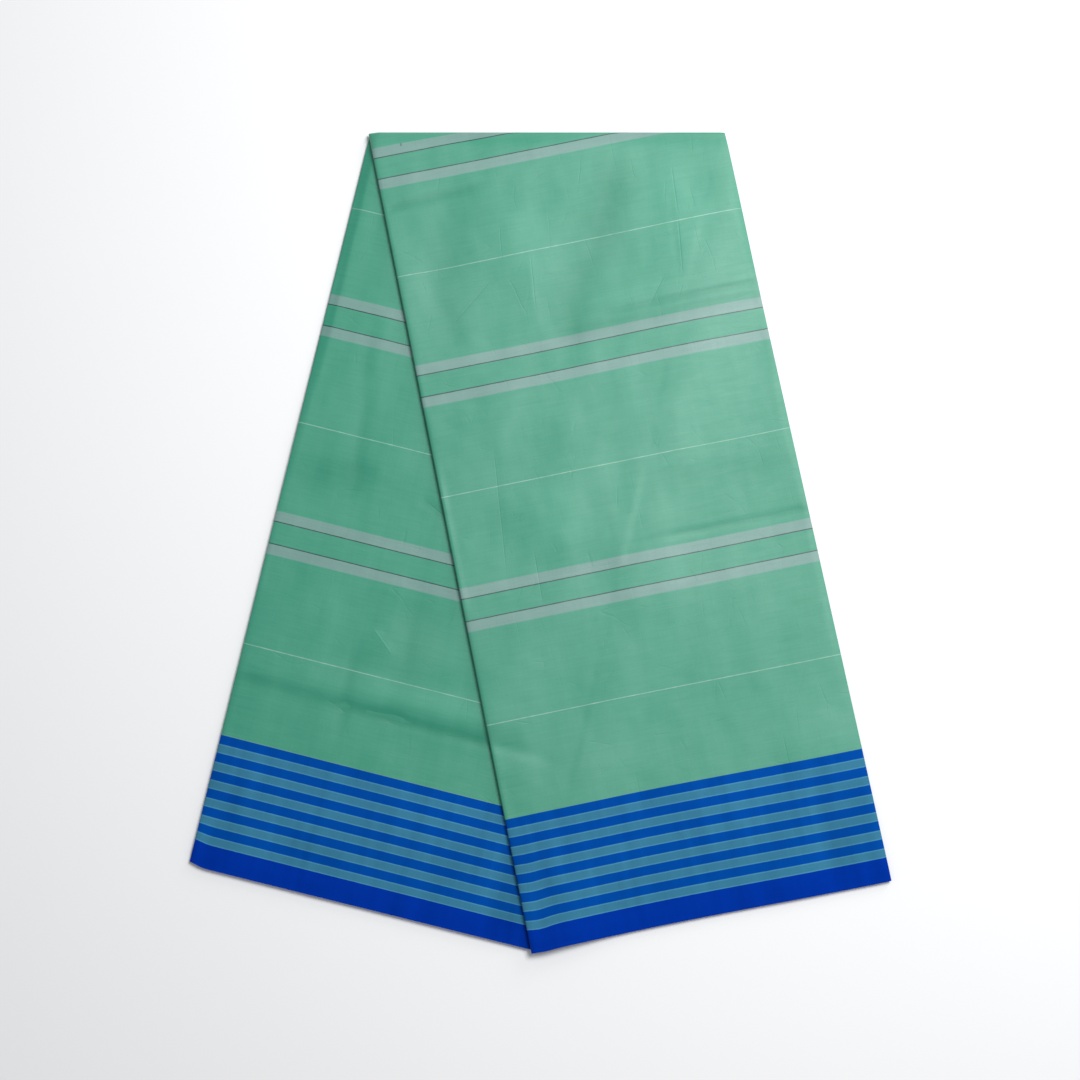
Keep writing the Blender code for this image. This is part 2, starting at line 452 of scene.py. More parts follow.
for name in strips:
    outer, inner = (cloth_lengths(path(name, 2))[-1] for path in (outer_section, inner_section))
    print(f"{name}: the visible layer takes {outer:.3f} m of the tube and the others {inner:.3f} m")

# %% [markdown]
# ## Carrying a section up the strip
#
# A strip is its section repeated at row after row from hem to turn. At each row the section is
# placed on the flat plan, thinned by the fullness, pushed up or down by the creases, and lifted onto
# what lies below. All layers of a strip use the same rule, so they stay in order.

# %% Places up the strip


def body_place(strip, section, up):
    """Places for a section, its columns last, at rows of heights up the strip."""
    across, height = (np.broadcast_to(section[:, i], up.shape) for i in (0, 1))
    flat = flat_place(strip, across, up)
    thick = fullness(strip, across, up) + relief(strip, across, up) / STACK
    return np.dstack([flat, rest_height(strip, flat) + height * thick])


few = outer_section("front", 4)
highest = body_place("front", few, np.full((1, len(few)), 0.3))[..., 2].max()
print("300 mm up, the front strip's section reaches", round(1000 * highest, 2), "mm high")

# %% [markdown]
# ## Round the turn
#
# At the top all layers go over together. The rows go on round a half ellipse, flatter than a circle
# because the fold has been pressed, so the top layer wraps the others. At the corner the spine is
# pulled out to the top layer's reach, or the corner would look cut off.

# %% Places round the turn
TURN_ROWS = 14
TURN_OUT = 0.62
# the arc of this ellipse beside that of a circle as high
TURN_ARC = math.sqrt((1 + TURN_OUT**2) / 2)
SPINE = {"across": 0.0010, "pull": 0.8, "from_low": 0.35}


def spine_out(across, height, part):
    """The height of spots, with the spine's drawn to the top layer's in the middle of the turn."""
    low, high = level(1), level(LAYERS)
    above = smooth((height - low) / (SPINE["from_low"] * (high - low)))
    share = SPINE["pull"] * (across < SPINE["across"]) * above
    return height + (high - height) * share * np.sin(math.pi * part)


def turn_place(section, part):
    """Places round the turn. part is 0 where it leaves the front strip and 1 where it meets the back."""
    across, height = (np.broadcast_to(section[:, i], part.shape) for i in (0, 1))
    height = spine_out(across, height, part)
    top, _, length = line("front", across)
    above = fullness("front", across, length)
    below = fullness("back", across, line("back", across)[2], open_side=False)
    thick = above * (1 - part) + below * part
    centre = rest_height("front", top) - CLEAR / 2
    radius = CLEAR / 2 + height * thick
    out = TURN_OUT * radius * np.sin(math.pi * part)
    upright = centre + radius * np.cos(math.pi * part)
    return np.dstack([top[..., 0] - math.tan(LEAN) * out, top[..., 1] + out, upright])


print(f"the outer layer goes {1000 * math.pi * TURN_ARC * (STACK + CLEAR / 2):.1f} mm round the turn")

# %% [markdown]
# ## From places to a sheet
#
# Each sheet starts as a flat grid: one direction runs along the section, the other up the strip.
# Moving every vertex of a grid by a formula keeps the faces tidy, and the grid's own two directions
# become the cloth's UV map in metres, which the stripes will follow. Solidify gives the thickness.

# %% A sheet from its places


def grid_mesh(name, rows, columns):
    """A flat grid, and the row and the column of each of its vertices."""
    bm = bmesh.new()
    bmesh.ops.create_grid(bm, x_segments=columns, y_segments=rows, size=0.5)
    mesh = bpy.data.meshes.new(name)
    bm.to_mesh(mesh)
    bm.free()
    flat = np.empty(3 * len(mesh.vertices))
    mesh.vertices.foreach_get("co", flat)
    share = flat.reshape(-1, 3)[:, :2] + 0.5
    return mesh, np.rint(share[:, 1] * rows).astype(int), np.rint(share[:, 0] * columns).astype(int)


def sheet_from(name, places, lengths, ups, dips):
    """A sheet from rows of places, with the cloth's own lengths as its UV map and its painted shade as an
    attribute.
    """
    rows, columns = places.shape[0] - 1, places.shape[1] - 1
    mesh, row, column = grid_mesh(name, rows, columns)
    mesh.vertices.foreach_set("co", places[row, column].ravel())
    corner = np.empty(len(mesh.loops), dtype=int)
    mesh.loops.foreach_get("vertex_index", corner)
    uv = np.stack([np.broadcast_to(lengths, ups.shape)[row, column], ups[row, column]], axis=-1)
    mesh.uv_layers.new(name="cloth").data.foreach_set("uv", uv[corner].ravel())
    mesh.attributes.new("dip", "FLOAT", "POINT").data.foreach_set("value", dips[row, column])
    mesh.shade_smooth()
    mesh.update()
    piece = bpy.data.objects.new(name, mesh)
    bpy.context.scene.collection.objects.link(piece)
    shell = piece.modifiers.new("thickness", "SOLIDIFY")
    shell.thickness = CLOTH
    shell.offset = 0.0
    triangles = 4 * rows * columns + 4 * (rows + columns)
    print(f"{name}: {rows} rows, {columns} columns, {triangles} triangles with its thickness")
    return piece


# %% [markdown]
# ## Seams, painted shade and bowed stripes
#
# A field and its border meet on one line, and a thin row on each side keeps the shading even up to
# it. Each vertex keeps a painted shade for the colour: how deep it lies in a trough, plus a band near
# the turn and one along the back strip's upper spine, painted darker, while ridges are painted lighter.
# Stripes in cloth are never quite straight, and the front strip's bow a little towards its hem.

# %% A strip's sheets
THIN_ROW = 0.00015
# metres of trough depth for full painted shade, then painted shade near the turn and along the back strip's
# spine
PAINTED_SHADE_DEPTH = 0.001
TURN_PAINTED_SHADE = {"share": 0.25, "reach": 0.010}
BACK_SPINE_PAINTED_SHADE = {"share": 0.45, "from": 0.0072, "over": 0.0020, "up_from": 0.330, "up_over": 0.120}
BOW = {"by": 0.0009, "at": 0.080, "wide": 0.090, "up_from": 0.36, "up_over": 0.07}


def row_steps(rows, extent):
    """Row places from 0 to 1, with one thin row at each end."""
    thin = THIN_ROW / extent
    return np.concatenate([[0, thin], np.linspace(0, 1, rows - 1)[1:-1], [1 - thin, 1]])[:, None]


def dips_at(strip, across, up):
    """The painted shade at each spot, about 0 to 1: its trough depth, and bands near the turn and along the
    back strip's spine. Ridges go below 0 and are painted lighter.
    """
    dips = -sum(crease(row, across, up) for row in CREASES[strip]) / PAINTED_SHADE_DEPTH
    to_turn = line(strip, across)[2] - up
    dips = dips + TURN_PAINTED_SHADE["share"] * (1 - smooth(to_turn / TURN_PAINTED_SHADE["reach"]))
    if strip == "front":
        return dips
    spine = BACK_SPINE_PAINTED_SHADE
    at_spine = 1 - smooth((across - spine["from"]) / spine["over"])
    return dips + spine["share"] * at_spine * smooth((up - spine["up_from"]) / spine["up_over"])


def bow(strip, across, up):
    """How far the stripes bow towards the hem."""
    by = BOW["by"] if strip == "front" else 0.0
    return by * hump(across, BOW["at"], BOW["wide"]) * smooth((up - BOW["up_from"]) / BOW["up_over"])


def strip_sheet(name, strip, section, lengths, part, rows):
    """One sheet: the green field up to the turn, or the blue border."""
    across = section[:, 0]
    length = line(strip, across)[2]
    border = BORDER[strip]
    # adding 0 * length gives a column of rows one value for each point of the section
    if part == "border":
        ups = row_steps(rows, border) * border + 0 * length
    else:
        ups = border + row_steps(rows, length.mean() - border) * (length - border)
    places = body_place(strip, section, ups)
    dips = dips_at(strip, np.broadcast_to(across, ups.shape), ups)
    if part == "field" and strip == "front":
        turns = np.linspace(0, 1, TURN_ROWS + 1)[1:, None] + 0 * length
        places = np.concatenate([places, turn_place(section, turns)])
        ups = np.concatenate([ups, length + math.pi * TURN_ARC * turns * (section[:, 1] + CLEAR / 2)])
        dips = np.concatenate([dips, 0 * turns])
    return sheet_from(name, places, lengths, ups + bow(strip, across, ups), dips)


few_rows = 1000 * BORDER["front"] * row_steps(6, BORDER["front"])[:, 0]
print("a border of six rows would have them at", few_rows.round(2), "mm")

# %% [markdown]
# ## The visible layers
#
# These carry the looks, so their grids are fine: cells about 2 mm wide follow the soft troughs.
# The border is a sheet of its own that starts exactly where the field ends, because its yarns are
# dyed apart, and the two share the points of their common line. Along the section the UV map counts
# from the left fold, so that a mark charted on the flat cloth lands where it should.

# %% Visible sheets
FINE_CELL = 0.0020
FIELD_ROWS = {"front": 268, "back": 240}
BORDER_ROWS = 50

pieces = {}
for name in strips:
    section = outer_section(name, round(WIDTH / FINE_CELL))
    spine_end = TURN_STEPS + 1
    lengths = cloth_lengths(section)
    lengths = lengths - lengths[spine_end] + section[spine_end, 0]
    for part, rows in (("field", FIELD_ROWS[name]), ("border", BORDER_ROWS)):
        title = f"{name}_cloth" if part == "field" else f"{name}_border_cloth"
        pieces[title] = strip_sheet(title, name, section, lengths, part, rows)

# %% [markdown]
# ## The hidden layers
#
# Only their folds show, along the open side, in the spine's gap and at the hems, so their grids
# are coarse along the flat and fine in the turns. One path through six layers is simpler than six
# sheets, and it is how the tube really lies.

# %% Hidden sheets
HIDDEN_COLUMNS = 22
HIDDEN_ROWS = 54
HIDDEN_BORDER_ROWS = 12
HIDDEN_FROM = 1.0

for name in strips:
    section = inner_section(name, HIDDEN_COLUMNS)
    lengths = HIDDEN_FROM + cloth_lengths(section)
    for part, rows in (("field", HIDDEN_ROWS), ("border", HIDDEN_BORDER_ROWS)):
        title = f"{name}_folds_cloth" if part == "field" else f"{name}_border_folds_cloth"
        pieces[title] = strip_sheet(title, name, section, lengths, part, rows)

# %% [markdown]
# ## Writing shader maths as sums
#
# A material's numbers read better as sums than as chains of nodes. `Value` wraps a socket, and
# adding or multiplying two of them adds the Math node that does it. `fill` gives a socket a number,
# a colour or a link, whichever it is handed.

# %% Values


class Value:
    """A number that changes over the cloth."""

    def __init__(self, socket):
        self.socket = socket

    def work(self, operation, *others):
        """The result of one Math node."""
        node = self.socket.id_data.nodes.new("ShaderNodeMath")
        node.operation = operation
        for slot, value in zip(node.inputs, others):
            fill(slot, value)
        return Value(node.outputs[0])

    def __add__(self, other):
        return self.work("ADD", self, other)

    def __sub__(self, other):
        return self.work("SUBTRACT", self, other)

    def __mul__(self, other):
        return self.work("MULTIPLY", self, other)

    def __truediv__(self, other):
        return self.work("DIVIDE", self, other)

    def __mod__(self, other):
        return self.work("FLOORED_MODULO", self, other)

    def __pow__(self, other):
        return self.work("POWER", self, other)

    def __abs__(self):
        return self.work("ABSOLUTE", self)

    def __rsub__(self, other):
        return self.work("SUBTRACT", other, self)

    def sine(self):
        """The sine of the value, in radians."""
        return self.work("SINE", self)

    __radd__ = __add__
    __rmul__ = __mul__


def fill(slot, value):
    """Links a socket to a value or to another socket, or sets its number or colour."""
    if isinstance(value, Value):
        slot.id_data.links.new(value.socket, slot)
    elif isinstance(value, bpy.types.NodeSocket):
        slot.id_data.links.new(value, slot)
    elif slot.type == "RGBA":
        slot.default_value = (*value, 1.0)
    else:
        slot.default_value = value


print("values can be added, taken away, multiplied, divided, wrapped and raised")

# %% [markdown]
# ## A cloth material
#
# Every pattern here is laid on the cloth's own UV map, across and up in metres, so it bends and
# folds with the cloth. `Cloth` starts a material and reads the map, and each of its methods adds one
# kind of node. `grain` stretches noise into yarns, and `crinkle` draws hairline wrinkles.

# %% Cloth materials
NOISE_ROUGHNESS = 0.55
HAIRLINE = 0.035
CRINKLE_BEND = 0.06
# metres across and up: what bends the cells one way and the other, and the places they show in
BEND_ACROSS = (0.013, 0.017)
BEND_UP = (0.017, 0.013)
CRINKLE_PATCH = (0.016, 0.022)


class Cloth:
    """A material being built, and the cloth's own coordinates: across and up, in metres."""

    def __init__(self, name):
        self.material = bpy.data.materials.new(name)
        self.material.use_nodes = True
        self.tree = self.material.node_tree
        self.shader = self.tree.nodes["Principled BSDF"]
        uv = self.node("ShaderNodeUVMap", {"uv_map": "cloth"})
        parts = self.node("ShaderNodeSeparateXYZ", {}, {"Vector": uv.outputs[0]})
        self.across, self.up = Value(parts.outputs[0]), Value(parts.outputs[1])
        # the painted shade kept at each vertex: troughs and bands darker, ridges lighter
        self.dip = Value(self.node("ShaderNodeAttribute", {"attribute_name": "dip"}).outputs["Fac"])

    def node(self, kind, settings, sockets=None):
        """Any node, from its type, its settings, and the values or links of its sockets."""
        made = self.tree.nodes.new(kind)
        for key, value in settings.items():
            setattr(made, key, value)
        for key, value in (sockets or {}).items():
            fill(made.inputs[key], value)
        return made

    def step(self, value, low, high):
        """0 below low and 1 above high, with a soft rise between them."""
        limits = {"Value": value, "From Min": low, "From Max": high, "To Min": 0.0, "To Max": 1.0}
        return Value(self.node("ShaderNodeMapRange", {"interpolation_type": "SMOOTHSTEP"}, limits).outputs[0])

    def vector(self, x, y, z=0.0):
        """A vector or a grey from its parts."""
        return self.node("ShaderNodeCombineXYZ", {}, {"X": x, "Y": y, "Z": z}).outputs[0]

    def vectors(self, operation, first, second):
        """Works on two vectors or colours. A dot product is a number, and the rest are vectors."""
        made = self.node("ShaderNodeVectorMath", {"operation": operation}, {0: first, 1: second})
        return Value(made.outputs["Value"]) if operation == "DOT_PRODUCT" else made.outputs["Vector"]

    def mix(self, first, second, share):
        """A mixture of two colours."""
        settings = {"data_type": "RGBA", "clamp_factor": True}
        return self.node("ShaderNodeMix", settings, {0: share, 6: first, 7: second}).outputs[2]

    def tone(self, colour, share):
        """A colour made lighter or darker by a share that changes over the cloth."""
        factor = share + 1.0
        return self.vectors("MULTIPLY", colour, self.vector(factor, factor, factor))

    def grain(self, wide, long, seed, detail=2.0):
        """Noise from -1 to 1, with grains of a size across and up, in metres."""
        spot = self.vector(self.across / wide, self.up / long, seed)
        sockets = {"Vector": spot, "Scale": 1.0, "Detail": detail, "Roughness": NOISE_ROUGHNESS}
        return (Value(self.node("ShaderNodeTexNoise", {}, sockets).outputs[0]) - 0.5) * 2.0

    def grains(self, rows):
        """A sum of noises: each row is a size across, a size up, a seed and a strength."""
        return sum(self.grain(wide, long, seed) * strength for wide, long, seed, strength in rows)

    def crinkle(self, wide, long, seed):
        """Broken hairline wrinkles: the bent borders of cells of a size across and up, shown in places."""
        bent_x = self.across / wide + self.grain(*BEND_ACROSS, seed) * CRINKLE_BEND
        bent_y = self.up / long + self.grain(*BEND_UP, seed + 4) * CRINKLE_BEND
        cells = {"voronoi_dimensions": "2D", "feature": "DISTANCE_TO_EDGE"}
        made = self.node("ShaderNodeTexVoronoi", cells, {"Vector": self.vector(bent_x, bent_y), "Scale": 1.0})
        hairline = 1 - self.step(Value(made.outputs["Distance"]), 0.0, HAIRLINE)
        return hairline * self.step(self.grain(*CRINKLE_PATCH, seed + 8), 0.0, 0.5)

    def weave(self, thread):
        """Crossing waves, a thread apart each way, from -1 to 1."""
        return (self.across * (math.pi / thread)).sine() * (self.up * (math.pi / thread)).sine()


print("a cloth material adds nodes by:", [name for name in vars(Cloth) if not name.startswith("_")])

# %% [markdown]
# ## Marks on the cloth
#
# Some marks belong to one spot: the painted shade of a hard crease where a packer pressed the pile,
# painted light along a ridge, a dark slub, a lighter patch of painted sheen. Each is a row in a
# table, in millimetres across and up, and a few nodes turn it into a mask. Masks are cheap, and
# unlike painted images they stay sharp close up.

# %% Marks
LINE_FADE = 0.25


def pressed_lines(cloth, rows):
    """Straight marks that fade at their ends: each row is two ends, a depth and a width."""
    spot = cloth.vector(cloth.across, cloth.up)
    total = 0.0
    for x0, y0, x1, y1, depth, width in rows:
        along = MM * Vector((x1 - x0, y1 - y0, 0.0))
        side = Vector((-along.y, along.x, 0.0)).normalized()
        offset = cloth.vectors("SUBTRACT", spot, (MM * x0, MM * y0, 0.0))
        run = cloth.vectors("DOT_PRODUCT", offset, tuple(along / along.length_squared))
        off = abs(cloth.vectors("DOT_PRODUCT", offset, tuple(side)))
        ends = cloth.step(run, 0.0, LINE_FADE) * (1 - cloth.step(run, 1 - LINE_FADE, 1.0))
        total = total + (1 - cloth.step(off, 0.0, MM * width)) * ends * depth
    return total


def painted_sheen(cloth, rows):
    """Soft lighter patches of painted sheen: each row is a middle, a reach each way and a strength."""
    total = 0.0
    for x, y, wide, tall, strength in rows:
        far = ((cloth.across / MM - x) / wide) ** 2 + ((cloth.up / MM - y) / tall) ** 2
        total = total + (1 - cloth.step(far, 0.0, 1.0)) * strength
    return total


print("marks: pressed lines and worn patches")

# %% [markdown]
# ## Cotton
#
# Plain weave at about 26 threads a centimetre, with threads that vary in thickness. Three things
# make it read as cotton: faint streaks along the stripes, where a thicker yarn runs, fainter ones
# across them, and a pale veil that is partly the paleness of short fibres that stand up and partly a
# painted sheen, lighter in clouds and patches and fainter in troughs. The veil is mixed into the
# colour, so that it stays in every view. Troughs and wrinkles get painted shade. The weave itself is
# a bump and a faint change of shade.

# %% Cotton finish
THREAD = 0.00038
# the pale colour mixed in for the standing fibres and a painted sheen
FUZZ_AND_SHEEN_COLOUR = (0.85, 0.97, 0.95)
# each noise: metres across, metres up, a seed, and a strength or a level of detail
STREAKS = ((0.022, 0.0011, 3.0, 0.045), (0.11, 0.0034, 9.0, 0.022))
PICKS = ((0.0013, 0.022, 5.0, 0.045), (0.0048, 0.09, 7.0, 0.030), (0.0016, 0.0013, 24.0, 0.045))
SMUDGE = (0.013, 0.085, 33.0, 1.0)
BROAD_CLOUD = (0.095, 0.110, 2.0, 1.0)
SMALL_CLOUD = (0.026, 0.034, 12.0, 4.0)
SLUB = (0.010, 0.0007, 14.0, 0.0)
THICK_YARN = (0.05, 0.0009, 21.0)
GLOSS = (0.02, 0.004, 30.0)
CRINKLES = ((0.018, 0.070, 1.3), (0.050, 0.024, 6.1))
LINE_STRENGTH = 1.6
# how much each darkens the cloth, as a share: the slub by its own colour, wrinkles and troughs as painted
# shade
DARKENS = {"slub": 0.10, "wrinkles": 0.035, "dip": 0.15}
WEAVE_SHADE = 0.05
# how much each changes the pale veil of standing fibres and painted sheen
FUZZ_AND_SHEEN_CHANGES = {"streaks": 0.3, "dip": 0.03, "smudge": 0.012, "cloud": 1.1}
# how high or deep each is in the bump, in metres
RAISES = {"weave": 0.000035, "yarn": 0.00002, "slub": 0.00004, "wrinkles": 0.00011}
BUMP_STRENGTH = 0.6
UNEVEN = {
    # how strongly the slow clouds and smudges lighten and darken each finish; on the green the clouds are
    # painted light and shade for slow swells
    "green": {"cloud": 0.05, "smudge": 0.035},
    "blue": {"cloud": 0.16, "smudge": 0.20},
}
ROUGHNESS = 0.48
ROUGHNESS_CHANGE = 0.06
SHEEN = 0.5


def cotton(cloth, colour, dye, lines, bloom=0.0, patches=()):
    """Finishes a cloth of this colour: streaks, slubs, crinkles, weave, painted shade, and a pale veil of
    fibres and painted sheen.
    """
    streaks = cloth.grains(STREAKS)
    smudge = cloth.grain(*SMUDGE)
    # broad clouds: painted light and shade on the green, and more or less painted sheen
    cloud = cloth.grain(*BROAD_CLOUD) * 0.7 + cloth.grain(*SMALL_CLOUD) * 0.5
    slub = cloth.step(cloth.grain(*SLUB), 0.62, 0.80)
    weave = cloth.weave(THREAD)
    # hairline wrinkles and crease lines: painted shade in the colour, and sunk in the bump
    wrinkles = sum(cloth.crinkle(*row) for row in CRINKLES) + pressed_lines(cloth, lines) * LINE_STRENGTH
    shade = streaks + cloth.grains(PICKS) + weave * WEAVE_SHADE
    shade = shade + cloud * UNEVEN[dye]["cloud"] + smudge * UNEVEN[dye]["smudge"]
    shade = shade - slub * DARKENS["slub"] - wrinkles * DARKENS["wrinkles"] - cloth.dip * DARKENS["dip"]
    finished = cloth.tone(colour, shade)
    if bloom:
        # a pale veil, partly the fibres and partly a painted sheen, fainter in troughs and lighter in clouds
        # and patches
        fuzz_and_sheen_share = streaks * FUZZ_AND_SHEEN_CHANGES["streaks"] - cloth.dip * FUZZ_AND_SHEEN_CHANGES["dip"] + smudge * FUZZ_AND_SHEEN_CHANGES["smudge"]
        fuzz_and_sheen_share = fuzz_and_sheen_share + cloud * (bloom * FUZZ_AND_SHEEN_CHANGES["cloud"]) + bloom
        finished = cloth.mix(finished, FUZZ_AND_SHEEN_COLOUR, fuzz_and_sheen_share + painted_sheen(cloth, patches))
    height = weave * RAISES["weave"] + cloth.grain(*THICK_YARN) * RAISES["yarn"]
    height = height + slub * RAISES["slub"] - wrinkles * RAISES["wrinkles"]
    bump = {"Height": height, "Distance": 1.0, "Strength": BUMP_STRENGTH}
    fill(cloth.shader.inputs["Base Color"], finished)
    fill(cloth.shader.inputs["Roughness"], cloth.grain(*GLOSS) * ROUGHNESS_CHANGE + ROUGHNESS)
    fill(cloth.shader.inputs["Normal"], cloth.node("ShaderNodeBump", {}, bump).outputs[0])
    cloth.shader.inputs["Specular IOR Level"].default_value = SHEEN
    return cloth.material


print("threads per cm:", round(0.01 / THREAD))

# %% [markdown]
# ## The stripe chart
#
# The stripes are woven in, so they are charted by their distance from the hem. In the field,
# groups of two pale bands with a dark thread inside each take turns with one thin light line, at
# an even pitch from hem to hem, so one distance to the nearest thin line draws them all. A little
# noise on that distance makes their edges as ragged as dyed yarns.

# %% Green field
# each strip's stripes and its pale veil of painted sheen: the back strip gets half the front's, so it reads
# as less lit
CHART = {
    "front": {"first_line": 0.1711, "pitch": 0.1765, "bloom": 0.040},
    "back": {"first_line": 0.1699, "pitch": 0.1746, "bloom": 0.020},
}
# metres from a group's middle to its dark threads, and to where its pale bands end
DARK_AT = 0.0086
BAND_TO = 0.0171
GREEN = (0.024, 0.262, 0.160)
PALE_BAND = (0.140, 0.282, 0.246)
DARK_THREAD = (0.006, 0.045, 0.042)
LIGHT_THREAD = (0.400, 0.580, 0.500)
EDGE = 0.00022
# metres from the middle of a thin line to where it starts to fade, and to where it has gone
DARK_FADE = (0.00026, 0.00056)
LIGHT_FADE = (0.00012, 0.00052)
# the noise on the stripes' edges, how far it moves them, and the noise along the light lines
RAGGED = (0.004, 0.0012, 40.0, 1.0)
RAGGED_BY = {"green": 0.00018, "blue": 0.00016}
FAINT = (0.010, 0.003, 50.0)


def green_field(name, first_line, pitch, bloom, lines, patches, slubs):
    """The green cotton of one strip, with its stripes and its marks."""
    cloth = Cloth(name)
    ragged = cloth.grain(*RAGGED) * RAGGED_BY["green"]
    to_line = abs((cloth.up - first_line + pitch / 2) % pitch - pitch / 2)
    to_group = pitch / 2 - to_line + ragged
    in_core = 1 - cloth.step(to_group, DARK_AT - EDGE, DARK_AT + EDGE)
    in_group = 1 - cloth.step(to_group, BAND_TO - 4 * EDGE, BAND_TO + 2 * EDGE)
    dark = 1 - cloth.step(abs(to_group - DARK_AT), *DARK_FADE)
    light = 1 - cloth.step(abs(to_line + ragged), *LIGHT_FADE)
    colour = cloth.mix(GREEN, PALE_BAND, in_group)
    colour = cloth.mix(colour, GREEN, in_core)
    colour = cloth.mix(colour, DARK_THREAD, dark)
    colour = cloth.mix(colour, LIGHT_THREAD, light * (cloth.grain(*FAINT) * 0.45 + 0.40))
    if slubs:
        colour = cloth.mix(colour, DARK_THREAD, pressed_lines(cloth, slubs))
    return cotton(cloth, colour, "green", lines, bloom, patches)


for name, chart in CHART.items():
    groups = [chart["first_line"] + (i + 0.5) * chart["pitch"] for i in range(3)]
    print(f"{name}: groups of stripes at", [round(1000 * x) for x in groups], "mm from the hem")

# %% [markdown]
# ## The border
#
# Twelve even stripes, blue and teal by turns, then a plain deep blue to the hem. Teal is the blue
# warp crossed by the green weft, so it shows more of the weave, with a lighter thread at each edge.
# Deep blue cloth shows hardly any white sheen, so its reflections are faint and tinted blue.

# %% Blue border
# metres from the hem to the first stripe
STRIPES_FROM = 0.0177
STRIPES = 12
# metres in from a teal stripe's edge between which its lighter thread comes in
EDGE_THREAD = (0.0011, 0.0005)
BLUE = (0.0006, 0.060, 0.320)
TEAL = (0.040, 0.180, 0.285)
TEAL_THREAD = (0.065, 0.240, 0.370)
HEM_BLUE = (0.0004, 0.029, 0.310)
BLUE_SHEEN = 0.10
BLUE_SHEEN_TINT = (0.05, 0.35, 1.0, 1.0)


def blue_border(name, border, lines):
    """The blue and teal border of one strip."""
    cloth = Cloth(name)
    stripe = (border - STRIPES_FROM) / STRIPES
    height = cloth.up - STRIPES_FROM + cloth.grain(*RAGGED) * RAGGED_BY["blue"]
    from_middle = abs(((height + stripe / 2) % (2 * stripe)) - stripe)
    teal = 1 - cloth.step(from_middle, stripe / 2 - EDGE, stripe / 2 + EDGE)
    at_edge = cloth.step(from_middle, *(stripe / 2 - inside for inside in EDGE_THREAD))
    colour = cloth.mix(BLUE, cloth.mix(TEAL, TEAL_THREAD, at_edge), teal)
    colour = cloth.mix(HEM_BLUE, colour, cloth.step(height, -EDGE, EDGE))
    finished = cotton(cloth, colour, "blue", lines)
    cloth.shader.inputs["Specular IOR Level"].default_value = BLUE_SHEEN
    cloth.shader.inputs["Specular Tint"].default_value = BLUE_SHEEN_TINT
    return finished


print("a border stripe is", round(1000 * (BORDER["front"] - STRIPES_FROM) / STRIPES, 2), "mm wide")

# %% [markdown]
# ## Giving the pieces their finish
#
# The marks of each strip are listed here in millimetres across from the left fold and up from the
# hem. Each strip has its own materials, because its stripes start at its own hem, and the visible
# and the hidden layers of a strip share them, as they are one cloth.

# %% Finish
BORDER_CREASES = ((102.7, 118, 103.1, 80, 0.5, 0.9), (217.3, 124, 217.5, 80, 0.6, 0.9))
MARKS = {
    "front": {
        "lines": (
            # crease lines of painted shade: from (across, up), to (across, up), depth, width
            (227, 571, 223.5, 526, 0.8, 0.9),
            (223.5, 530, 217, 479, 0.8, 0.9),
            (237.1, 550, 237.8, 531, 0.6, 0.8),
            (246.9, 588, 244.9, 575, 0.7, 0.8),
            (105.2, 526, 99.9, 474, 0.7, 0.8),
            (47.7, 385, 36.8, 273, 0.6, 0.8),
            (61.4, 295, 60.0, 250, 0.7, 0.8),
            (203.2, 484, 187.5, 463, 0.9, 0.8),
            (216.4, 475, 209.7, 463, 0.6, 0.8),
            (73.4, 510, 31.3, 476, 0.7, 0.8),
            (239.3, 508, 242.8, 489, 0.6, 0.8),
            (242.8, 491, 242.6, 477, 0.6, 0.8),
            *BORDER_CREASES,
        ),
        # painted sheen patches: middle across, middle up, reach across, reach up, strength
        "patches": ((245, 470, 44, 60, 0.020), (60, 132, 90, 26, 0.006)),
        "slubs": ((23.4, 629.6, 22.9, 626.4, 1.0, 0.7),),
    },
    "back": {
        # painted light along a ridge, then painted shade along a crease
        "lines": ((93.4, 206, 114.7, 188, -0.8, 1.2), (113.1, 308, 129.6, 300, 0.8, 1.0)),
        "patches": ((132, 204, 40, 34, 0.022), (118, 166, 110, 16, 0.012), (178, 112, 60, 28, 0.010)),
        "slubs": (),
    },
}
BORDER_LINES = {"front": BORDER_CREASES, "back": ()}

finishes = {}
for name in strips:
    finishes[name] = {
        "green_cotton": green_field(f"{name}_green_cotton", **CHART[name], **MARKS[name]),
        "blue_border": blue_border(f"{name}_blue_border", BORDER[name], BORDER_LINES[name]),
    }
for title, piece in pieces.items():
    slot = "blue_border" if "border" in title else "green_cotton"
    piece.data.materials.append(finishes[title.split("_")[0]][slot])
    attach(piece, "root")
print(len(pieces), "pieces have their cloth")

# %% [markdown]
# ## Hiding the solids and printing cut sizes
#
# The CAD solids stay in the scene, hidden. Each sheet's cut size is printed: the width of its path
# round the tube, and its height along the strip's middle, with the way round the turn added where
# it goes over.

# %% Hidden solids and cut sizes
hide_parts("front_layer")
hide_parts("front_border")
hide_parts("front_folds", "top_fold")
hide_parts("front_border_folds")
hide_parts("back_layer")
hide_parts("back_border")
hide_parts("back_folds")
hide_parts("back_border_folds")

SECTIONS = {"cloth": outer_section, "folds_cloth": inner_section}
OVER_TURN = {"cloth": STACK + CLEAR / 2, "folds_cloth": STACK / 2}
for name in strips:
    tall = float(line(name, np.array(WIDTH / 2))[2])
    for kind, section_of in SECTIONS.items():
        wide = cloth_lengths(section_of(name, 2))[-1]
        over = math.pi * TURN_ARC * OVER_TURN[kind] if name == "front" else 0.0
        heights = {f"{name}_{kind}": tall - BORDER[name] + over, f"{name}_border_{kind}": BORDER[name]}
        for title, height in heights.items():
            print(f"{title} was cut {wide:.3f} x {height:.3f} m")

# %% [markdown]
# ## Floor and light
#
# A pale floor and soft light, stronger from the right, as in a small studio. The skim light comes
# in low from behind and brings out the troughs, and the pale world fills the shade.

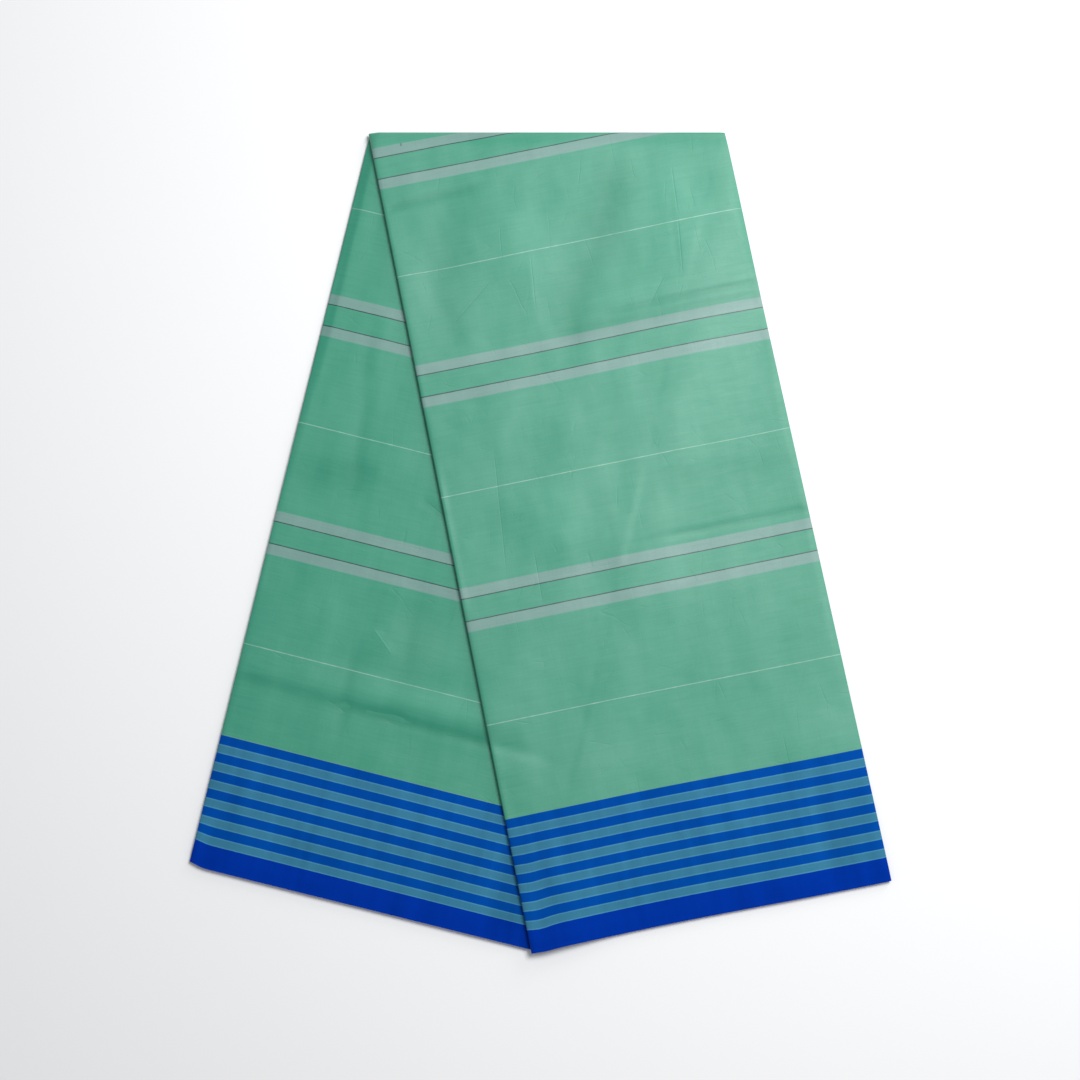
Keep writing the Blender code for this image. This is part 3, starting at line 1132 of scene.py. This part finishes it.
# %% Floor, lights and world
FLOOR_HALF = 3.0
FLOOR_DROP = 0.0002
FLOOR_COLOUR = (0.87, 0.87, 0.875, 1)
FLOOR_ROUGHNESS = 0.85
LIGHTS = (
    # name, place in metres, width in metres, watts
    ("key", (0.68, 0.55, 1.52), 0.8, 28.5),
    ("skim", (0.95, 1.10, 0.60), 0.6, 5.0),
)
WORLD_COLOUR = (0.95, 0.97, 1.0, 1)
WORLD_STRENGTH = 0.37

bm = bmesh.new()
bmesh.ops.create_grid(bm, x_segments=1, y_segments=1, size=FLOOR_HALF)
bmesh.ops.translate(bm, verts=bm.verts, vec=(0, 0, -FLOOR_DROP))
floor_mesh = bpy.data.meshes.new("floor")
bm.to_mesh(floor_mesh)
bm.free()
floor = bpy.data.objects.new("floor", floor_mesh)
bpy.context.scene.collection.objects.link(floor)
floor_material = bpy.data.materials.new("floor")
floor_material.use_nodes = True
floor_shader = floor_material.node_tree.nodes["Principled BSDF"]
floor_shader.inputs["Base Color"].default_value = FLOOR_COLOUR
floor_shader.inputs["Roughness"].default_value = FLOOR_ROUGHNESS
floor_mesh.materials.append(floor_material)

for name, place, size, watts in LIGHTS:
    lamp_data = bpy.data.lights.new(name, "AREA")
    lamp_data.shape = "SQUARE"
    lamp_data.size = size
    lamp_data.energy = watts
    lamp = bpy.data.objects.new(name, lamp_data)
    bpy.context.scene.collection.objects.link(lamp)
    lamp.location = place
    lamp.rotation_mode = "QUATERNION"
    lamp.rotation_quaternion = (-Vector(place)).to_track_quat("-Z", "Y")

world = bpy.data.worlds.new("world")
world.use_nodes = True
world.node_tree.nodes["Background"].inputs["Color"].default_value = WORLD_COLOUR
world.node_tree.nodes["Background"].inputs["Strength"].default_value = WORLD_STRENGTH
bpy.context.scene.world = world
bpy.context.scene.view_settings.view_transform = "Standard"
print("lights:", ", ".join(f"{name} {watts} W" for name, _, _, watts in LIGHTS))

# %% [markdown]
